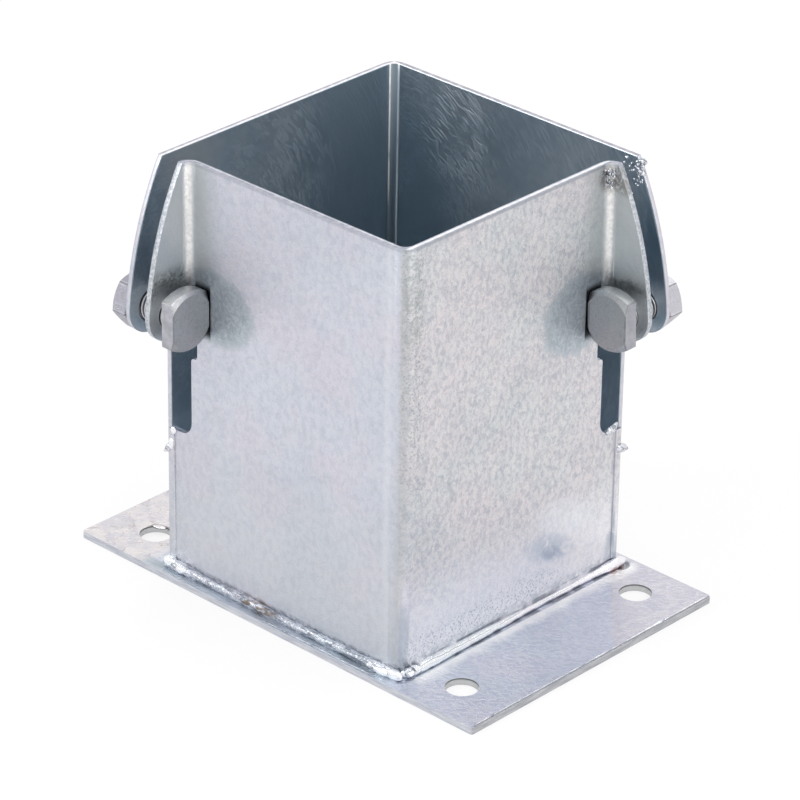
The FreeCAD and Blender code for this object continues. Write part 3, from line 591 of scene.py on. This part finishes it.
def run_bead(name, route, material, swells, node):
    """Bead of weld metal along a route of (x, y, z, radius) in millimetres, uneven as it was laid.

    Each swell is a size and a depth in metres; node is the plain CAD bead that this one stands for.
    """
    bpy.ops.curve.primitive_nurbs_path_add()
    bead = bpy.context.object
    bead.name = name
    bead.data.splines.clear()
    line = bead.data.splines.new("NURBS")
    line.points.add(len(route) - 1)
    for point, (x, y, z, radius) in zip(line.points, route):
        point.co = (x / 1000, y / 1000, z / 1000, 1.0)
        point.radius = radius
    line.order_u = 3
    line.use_endpoint_u = True
    line.resolution_u = 24
    bead.data.bevel_depth = 0.001
    bead.data.bevel_resolution = 5
    bead.data.use_fill_caps = True
    select_only(bead)
    bpy.ops.object.convert(target="MESH")
    bead = bpy.context.object
    settle(bead)
    for size, depth in swells:
        unsettle(bead, size, depth)
    bead.data.materials.append(material)
    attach(bead, "root")
    if node:
        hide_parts(node)


run_bead("bead_front_right", [
    (51.9, -51.6, 3.4, 0.5), (52.6, -50.4, 3.6, 1.7), (53.4, -47.0, 3.6, 2.0), (53.6, -38.0, 3.7, 1.9),
    (53.5, -24.0, 3.6, 1.7), (53.4, -8.0, 3.5, 1.5), (53.2, 4.0, 3.4, 1.2), (53.1, 14.0, 3.3, 1.05),
    (53.1, 24.0, 3.2, 1.05), (53.2, 34.0, 3.3, 1.15), (53.4, 42.0, 3.4, 1.4), (53.9, 48.0, 3.7, 1.9),
    (54.1, 51.6, 3.8, 2.0), (54.1, 54.0, 3.7, 1.5), (54.1, 55.2, 3.6, 0.4)],
    smooth_bead, [(0.009, 0.0005)], "wall_weld_front_right")
run_bead("bead_front_left", [
    (-53.0, -52.6, 3.2, 0.5), (-52.4, -53.2, 3.6, 1.7), (-49.0, -53.5, 3.8, 2.1), (-44.0, -53.6, 3.6, 1.9),
    (-36.0, -53.3, 3.3, 1.6), (-24.0, -53.2, 3.4, 1.7), (-12.0, -53.3, 3.5, 1.9), (0.0, -53.2, 3.3, 1.6),
    (14.0, -53.2, 3.3, 1.6), (28.0, -53.2, 3.4, 1.7), (38.0, -53.3, 3.4, 1.8), (45.0, -53.4, 3.6, 2.0),
    (49.5, -52.9, 3.6, 2.0), (51.6, -51.9, 3.5, 1.5), (52.2, -51.2, 3.4, 0.4)],
    rough_bead, [(0.0045, 0.0009), (0.0014, 0.0004)], "wall_weld_front_left")
run_bead("bead_back_left", [
    (-52.6, -53.2, 3.3, 0.6), (-53.2, -50.0, 3.5, 1.8), (-53.3, -30.0, 3.4, 1.6), (-53.4, -5.0, 3.5, 1.8),
    (-53.3, 20.0, 3.4, 1.6), (-53.3, 42.0, 3.5, 1.8), (-52.6, 49.0, 3.4, 1.6), (-51.6, 51.6, 3.3, 0.5)],
    rough_bead, [(0.006, 0.0009)], "wall_weld_back_left")
run_bead("bead_back_right", [
    (-51.0, 52.2, 3.3, 0.5), (-48.0, 52.8, 3.4, 1.6), (-40.0, 53.3, 3.5, 1.8), (-16.0, 53.3, 3.4, 1.6),
    (8.0, 53.4, 3.5, 1.8), (30.0, 53.3, 3.4, 1.6), (47.0, 53.4, 3.5, 1.8), (52.0, 53.2, 3.4, 0.6)],
    rough_bead, [(0.006, 0.0009)], "wall_weld_back_right")
run_bead("zinc_edge_left", [
    (-6.0, -57.0, 2.4, 0.1), (2.0, -57.1, 2.5, 0.34), (12.0, -57.2, 2.5, 0.26), (22.0, -57.1, 2.5, 0.38),
    (30.0, -57.2, 2.5, 0.28), (38.0, -57.0, 2.5, 0.36), (44.0, -56.8, 2.4, 0.1)],
    rough_bead, [(0.0012, 0.0003)], None)
for name in ("seam_weld_left", "seam_weld_right"):
    dress(name, front_zinc)


# ---------------------------------------------------------------------------------------------
# Zinc runs. Where the bath drained off corners and ends it left lumps, beads, one spike and a
# crust of small drops. They are part of the coat and sit on the steel.

def drop_zinc(name, centre, size, lean=(0.0, 0.0, 0.0), swell=0.0004, material=smooth_bead):
    """Lump of set zinc: a ball drawn out to one side, with an uneven skin. Sizes in millimetres."""
    bpy.ops.mesh.primitive_ico_sphere_add(subdivisions=4, radius=1.0, location=Vector(centre) / 1000)
    drop = bpy.context.object
    drop.name = name
    bpy.ops.object.mode_set(mode="EDIT")
    bpy.ops.mesh.select_all(action="SELECT")
    bpy.ops.transform.resize(value=tuple(part / 1000 for part in size))
    bpy.ops.mesh.select_all(action="DESELECT")
    bpy.ops.object.mode_set(mode="OBJECT")
    if any(lean):
        pull = Vector(lean)
        tip = max(drop.data.vertices, key=lambda vertex: vertex.co.dot(pull))
        tip.select = True
        bpy.ops.object.mode_set(mode="EDIT")
        bpy.ops.mesh.select_mode(type="VERT")
        bpy.ops.transform.translate(
            value=tuple(pull / 1000), use_proportional_edit=True, proportional_edit_falloff="SHARP",
            proportional_size=max(size) / 1000 * 1.9)
        bpy.ops.object.mode_set(mode="OBJECT")
    settle(drop)
    unsettle(drop, max(size) / 1000, swell)
    drop.data.materials.append(material)
    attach(drop, "root")


drop_zinc("lump_near_corner", (51.4, -53.4, 4.0), (3.2, 1.6, 1.9))
drop_zinc("lump_near_left", (46.2, -54.0, 3.6), (4.2, 1.5, 1.5))
drop_zinc("lump_near_right", (54.0, -49.0, 4.2), (1.6, 2.2, 1.6), swell=0.0008)
drop_zinc("lump_far_left", (-50.6, -53.8, 4.6), (2.8, 1.9, 2.1), swell=0.0012)
drop_zinc("lump_left", (-45.4, -54.4, 4.0), (3.4, 1.5, 1.6), swell=0.0010)
drop_zinc("seam_bead_left", (-49.6, -52.8, 53.6), (1.2, 0.7, 1.3), swell=0.0002)
drop_zinc("seam_drop_left", (-50.4, -53.0, 48.4), (1.1, 0.8, 2.1), swell=0.0001)
drop_zinc("seam_spike_left", (-51.4, -53.0, 47.0), (1.1, 0.7, 1.4), lean=(-1.8, -0.2, -1.6),
          swell=0.0001, material=rough_bead)
drop_zinc("seam_bead_right", (52.6, 46.6, 54.4), (0.9, 2.3, 1.5), lean=(0.2, 1.4, 1.6), swell=0.0003,
          material=rough_bead)
drop_zinc("seam_drop_right", (53.0, 51.4, 46.6), (1.0, 2.0, 1.7), lean=(0.6, 1.4, -0.6), swell=0.0002,
          material=rough_bead)
drop_zinc("hole_drip_left", (-72.6, -37.6, 2.5), (2.4, 1.3, 0.5), lean=(-0.6, -0.8, 0.0), swell=0.0003,
          material=plate_zinc)


def crust_over(name, centre, reach, grain, count, seed, material):
    """Crust of small set drops scattered over a patch, in millimetres, as one piece."""
    ceiling = cad_box[1].z * 1000 - 1.7
    drops = []
    dice = random.Random(seed)
    for _ in range(count):
        spot_on = [middle + dice.uniform(-1.0, 1.0) * size for middle, size in zip(centre, reach)]
        spot_on[2] = min(spot_on[2], ceiling)
        bpy.ops.mesh.primitive_ico_sphere_add(subdivisions=2, radius=dice.uniform(*grain) / 1000,
                                              location=Vector(spot_on) / 1000)
        drop = bpy.context.object
        bpy.ops.object.mode_set(mode="EDIT")
        bpy.ops.transform.resize(
            value=(dice.uniform(0.7, 1.3), dice.uniform(0.7, 1.3), dice.uniform(0.8, 1.6)))
        bpy.ops.object.mode_set(mode="OBJECT")
        drops.append(drop)
    bpy.ops.object.select_all(action="DESELECT")
    for drop in drops:
        drop.select_set(True)
    bpy.context.view_layer.objects.active = drops[0]
    bpy.ops.object.join()
    crust = bpy.context.object
    crust.name = name
    settle(crust)
    unsettle(crust, 0.0008, 0.0003)
    crust.data.materials.append(material)
    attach(crust, "root")


crust_over("crust_front_ear", (53.6, 41.4, 148.0), (1.4, 2.8, 3.2), (0.2, 0.5), 110, 3, rough_bead)
crust_over("crust_back_ear", (54.0, 50.45, 145.2), (4.4, 0.10, 6.2), (0.16, 0.32), 34, 5, smooth_bead)
crust_over("crust_back_rim", (56.9, 51.3, 148.0), (1.1, 0.8, 4.0), (0.35, 0.9), 60, 8, rough_bead)

# The sheared end of the plate keeps a thin bright burr with nicks in it.
burr_route = [(88.55 - radius * 0.4, y, 2.50, radius) for y, radius in (
    (-57.6, 0.1), (-56.0, 0.42), (-40.0, 0.40), (-22.0, 0.46), (-12.0, 0.36), (-6.0, 0.42), (-4.8, 0.12),
    (-3.4, 0.40), (3.0, 0.46), (7.4, 0.40), (8.4, 0.10), (9.6, 0.44), (13.2, 0.36), (14.4, 0.08),
    (15.6, 0.42), (26.0, 0.45), (31.4, 0.50), (33.0, 0.85), (34.4, 0.2), (36.0, 0.42), (48.0, 0.40),
    (56.0, 0.50), (57.4, 0.1))]
run_bead("plate_burr", burr_route, smooth_bead, [(0.002, 0.00025)], None)


# ---------------------------------------------------------------------------------------------
# Clamp bolts. Forged bolts with a bowed, two-flatted head; the zinc on them is matt and grey.
# A thread is wound on to each shank; the side flats of the heads are paler than the faces.

# Where the bolts lie and how they are threaded, in millimetres: their level above the ground, how
# far out from the middle each shank runs, and the head's underside.
bolt_level = 102.0
bolt_out = 60.94
under_head = 37.5
shank_radius = 5.0
thread_pitch = 1.5
thread_turns = 14

# Screw thread: how high the ridge stands at a point, and whether that point is on the shank.
thread, thread_in, thread_out = new_group(
    "screw_thread",
    [("Along", "Float", 0.0), ("Side", "Float", 0.0), ("Up", "Float", 0.0), ("Pitch", "Float", thread_pitch)],
    [("Ridge", "Float", None), ("On Shank", "Float", None)])
turn = work_out(thread, "ARCTAN2", thread_in["Side"], thread_in["Up"])
turn = work_out(thread, "DIVIDE", turn, 2.0 * math.pi)
climb = work_out(thread, "ADD", work_out(thread, "DIVIDE", thread_in["Along"], thread_in["Pitch"]), turn)
thread.links.new(work_out(thread, "PINGPONG", climb, 0.5), thread_out["Ridge"])
reach = length_of(thread, thread_in["Side"], thread_in["Up"])
thread.links.new(fade(thread, reach, shank_radius + 0.6, shank_radius + 0.5), thread_out["On Shank"])


def wind_thread(name, axis, start, turns, offset, material):
    """Ridge of a right-hand screw thread wound along a bolt's shank. Sizes in millimetres."""
    bpy.ops.mesh.primitive_circle_add(vertices=3, radius=0.0008,
                                      rotation=(math.pi / 2.0, 0, math.pi / 2.0 * axis))
    ridge = bpy.context.object
    ridge.name = name
    select_only(ridge)
    bpy.ops.object.transform_apply(location=True, rotation=True, scale=True)
    onto_shank = [0.0, 0.0, (shank_radius + 0.01) / 1000]
    onto_shank[axis] = start / 1000
    bpy.ops.object.mode_set(mode="EDIT")
    bpy.ops.mesh.select_all(action="SELECT")
    bpy.ops.transform.resize(value=(1.0, 1.0, 0.35), center_override=(0, 0, 0))
    bpy.ops.transform.translate(value=tuple(onto_shank))
    bpy.ops.object.mode_set(mode="OBJECT")
    wind = ridge.modifiers.new("wind", "SCREW")
    wind.axis = "XY"[axis]
    wind.screw_offset = thread_pitch / 1000
    wind.iterations = turns
    wind.steps = wind.render_steps = 40
    bpy.ops.object.modifier_apply(modifier="wind")
    to_bolt = [0.0, 0.0, bolt_level / 1000]
    to_bolt[1 - axis] = offset / 1000
    bpy.ops.object.mode_set(mode="EDIT")
    bpy.ops.mesh.select_all(action="SELECT")
    bpy.ops.mesh.fill_holes(sides=3)
    bpy.ops.transform.translate(value=tuple(to_bolt))
    bpy.ops.mesh.normals_make_consistent(inside=False)
    bpy.ops.object.mode_set(mode="OBJECT")
    ridge.data.materials.append(material)
    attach(ridge, "root")


# The left bolt lies along X and points to -X; the right one lies along Y and points to +Y.
for side, axis, outwards, thread_start, pale in (("left", 0, -1.0, -60.75, (0.52, 0.515, 0.565, 1)),
                                                 ("right", 1, 1.0, 39.75, (0.47, 0.465, 0.51, 1))):
    head_end = under_head * outwards
    bolt_zinc, tree, shader, (zinc,), where, at, facing = start_material("bolt_zinc_" + side, [{
        "Light": (0.53, 0.535, 0.55, 1), "Shade": (0.37, 0.38, 0.39, 1), "Fleck Size": 1.1, "Flecks": 0.12,
        "Streaks": 0.08, "Clouds": 0.30, "Grain": 0.50, "Gloss": 0.40}])
    flat_colour = tint(tree, mottle(tree, where, 300.0, 0.3, 0.7, 4.0), pale, (0.38, 0.38, 0.42, 1))
    on_flat = fade(tree, facing[1 - axis], 0.7 * outwards, 0.9 * outwards)
    colour = tint(tree, on_flat, zinc["Color"], flat_colour)
    chip = overlap(tree, mottle(tree, where, 650.0, 0.58, 0.68, 4.0, 1.0), 0.3)
    colour = tint(tree, chip, colour, (0.24, 0.23, 0.24, 1))
    from_axis = work_out(tree, "SUBTRACT", at[1 - axis], bolt_out * outwards)
    flat_line = overlap(tree, band(tree, work_out(tree, "ABSOLUTE", from_axis), 7.35, 7.80, 0.25),
                        fade(tree, work_out(tree, "ABSOLUTE", facing[1 - axis]), 0.8, 0.5),
                        mottle(tree, where, 260.0, 0.30, 0.55))
    colour = tint(tree, overlap(tree, flat_line, 0.35 + 0.25 * axis), colour, (0.17, 0.17, 0.18, 1))
    winding = place(tree, "Group", {
        "Along": at[axis], "Side": work_out(tree, "MULTIPLY", from_axis, -outwards),
        "Up": work_out(tree, "SUBTRACT", at[2], bolt_level)}, node_tree=thread).outputs
    past_head = fade(tree, at[axis], head_end + 0.1 * outwards, head_end + 0.3 * outwards)
    # Painted shade in the roots of the thread, with paler crests.
    shank = tint(tree, fade(tree, winding["Ridge"], 0.1, 0.4), (0.20, 0.20, 0.21, 1), (0.62, 0.61, 0.62, 1))
    colour = tint(tree, overlap(tree, winding["On Shank"], past_head), colour, shank)
    height = overlap(tree, zinc["Height"], 0.2)
    finish_material(tree, shader, colour, zinc["Roughness"], height, depth=0.00020)
    dress("clamp_bolt_" + side, bolt_zinc, edge=0.0003)
    wind_thread("bolt_thread_" + side, axis, thread_start, thread_turns, bolt_out * outwards, bolt_zinc)


# ---------------------------------------------------------------------------------------------
# Clamp nuts. Plain hexagon nuts, spun clean after dipping, paler than the bolts; the right one
# is brighter than the left, and its upward faces carry a painted highlight.

for side, way, light, shade, top_highlight in (("left", 1, (0.42, 0.415, 0.47, 1), (0.31, 0.31, 0.36, 1), 0.0),
                                      ("right", 0, (0.56, 0.55, 0.60, 1), (0.40, 0.405, 0.445, 1), 0.6)):
    nut_zinc, tree, shader, (zinc,), where, at, facing = start_material("nut_zinc_" + side, [{
        "Light": light, "Shade": shade, "Fleck Size": 1.2, "Flecks": 0.20, "Streaks": 0.08,
        "Clouds": 0.25, "Grain": 0.35, "Gloss": 0.34}])
    colour = tint(tree, overlap(tree, mottle(tree, where, 420.0, 0.60, 0.68), 0.5), zinc["Color"],
                  (0.30, 0.29, 0.31, 1))

    # Painted shade in dark lines along the corners of the hexagon, each with a paler strip beside it.
    low_end, high_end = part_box("clamp_nut_" + side)
    middle = (low_end + high_end) / 2.0
    arms = [vertex.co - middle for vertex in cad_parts["clamp_nut_" + side].data.vertices]
    corner = max(arms, key=lambda arm: math.hypot(arm[way], arm.z))
    turn = work_out(tree, "ARCTAN2", work_out(tree, "SUBTRACT", at[2], middle.z * 1000),
                    work_out(tree, "SUBTRACT", at[way], middle[way] * 1000))
    turn = work_out(tree, "SUBTRACT", turn, math.atan2(corner.z, corner[way]))
    from_corner = work_out(tree, "PINGPONG", work_out(tree, "DIVIDE", turn, math.pi / 3.0), 0.5)
    # Painted highlight on the upward faces, on the right nut only.
    colour = tint(tree, overlap(tree, fade(tree, facing[2], 0.2, 0.45), top_highlight), colour, (0.80, 0.80, 0.85, 1))
    pale_strip = overlap(tree, band(tree, from_corner, 0.035, 0.075, 0.02), mottle(tree, where, 300.0, 0.35, 0.6))
    colour = tint(tree, overlap(tree, pale_strip, 0.5), colour, (0.78, 0.78, 0.83, 1))
    colour = tint(tree, overlap(tree, fade(tree, from_corner, 0.030, 0.012), 0.7), colour,
                  (0.20, 0.19, 0.21, 1))
    finish_material(tree, shader, colour, zinc["Roughness"], zinc["Height"], depth=0.00018)
    dress("clamp_nut_" + side, nut_zinc, edge=0.00025)


# ---------------------------------------------------------------------------------------------
# Floor, light and camera. The base stands on a plain pale floor in soft light from above and
# both sides; the camera looks down on the near corner from the right.

def seen_as_white(tree):
    """1 for what the camera sees itself, in metal or through glass; 0 for what only gives light."""
    path = place(tree, "LightPath").outputs
    seen = work_out(tree, "MAXIMUM", path["Is Camera Ray"], path["Is Glossy Ray"])
    return work_out(tree, "MAXIMUM", seen, path["Is Transmission Ray"])


bpy.ops.mesh.primitive_plane_add(size=6.0, location=(0, 0, 0))
floor = bpy.context.object
floor.name = "floor"
pale_floor = bpy.data.materials.new("pale_floor")
pale_floor.use_nodes = True
tree = pale_floor.node_tree
shader = tree.nodes["Principled BSDF"]
shader.inputs["Base Color"].default_value = (0.9, 0.9, 0.9, 1)
shader.inputs["Roughness"].default_value = 0.9
shader.inputs["Specular IOR Level"].default_value = 0.0
glow = place(tree, "Emission", {"Color": (1, 1, 1, 1), "Strength": 1.0}).outputs[0]
whitened = work_out(tree, "MULTIPLY", seen_as_white(tree), 0.75)
surface = place(tree, "MixShader", {0: whitened, 1: shader.outputs[0], 2: glow}).outputs[0]
tree.links.new(surface, tree.nodes["Material Output"].inputs["Surface"])
floor.data.materials.append(pale_floor)

world = bpy.data.worlds.new("studio")
bpy.context.scene.world = world
world.use_nodes = True
tree = world.node_tree
strength = place(tree, "Mix", {0: seen_as_white(tree), 2: 0.8, 3: 1.0}).outputs[0]
background = tree.nodes["Background"]
background.inputs["Color"].default_value = (1, 1, 1, 1)
tree.links.new(strength, background.inputs["Strength"])


def hang_light(name, location, size, watts):
    """Soft square light that looks at the middle of the socket."""
    lamp = bpy.data.lights.new(name, "AREA")
    lamp.shape = "SQUARE"
    lamp.size = size
    lamp.energy = watts
    light = bpy.data.objects.new(name, lamp)
    bpy.context.scene.collection.objects.link(light)
    light.location = location
    aim = Vector((0, 0, 0.06)) - light.location
    light.rotation_euler = aim.to_track_quat("-Z", "Y").to_euler()


hang_light("left_light", (-0.9, -1.3, 1.1), 0.9, 9.0)
hang_light("right_light", (1.5, -0.2, 1.0), 0.9, 7.0)
hang_light("top_light", (0.0, 0.3, 1.8), 1.0, 8.0)

camera_data = bpy.data.cameras.new("camera")
camera_data.lens = 198.0
camera_data.sensor_width = 36.0
camera_data.clip_start = 0.05
camera = bpy.data.objects.new("camera", camera_data)
bpy.context.scene.collection.objects.link(camera)
camera.location = (0.8680, -0.9275, 0.7277)
look_down, swing, roll = math.radians(27.60), math.radians(43.04), math.radians(0.943)
turn = Euler((math.pi / 2.0 - look_down, 0, swing)).to_matrix()
camera.rotation_euler = (turn @ Matrix.Rotation(roll, 3, "Z")).to_euler()
bpy.context.scene.camera = camera
bpy.context.scene.view_settings.view_transform = "Standard"
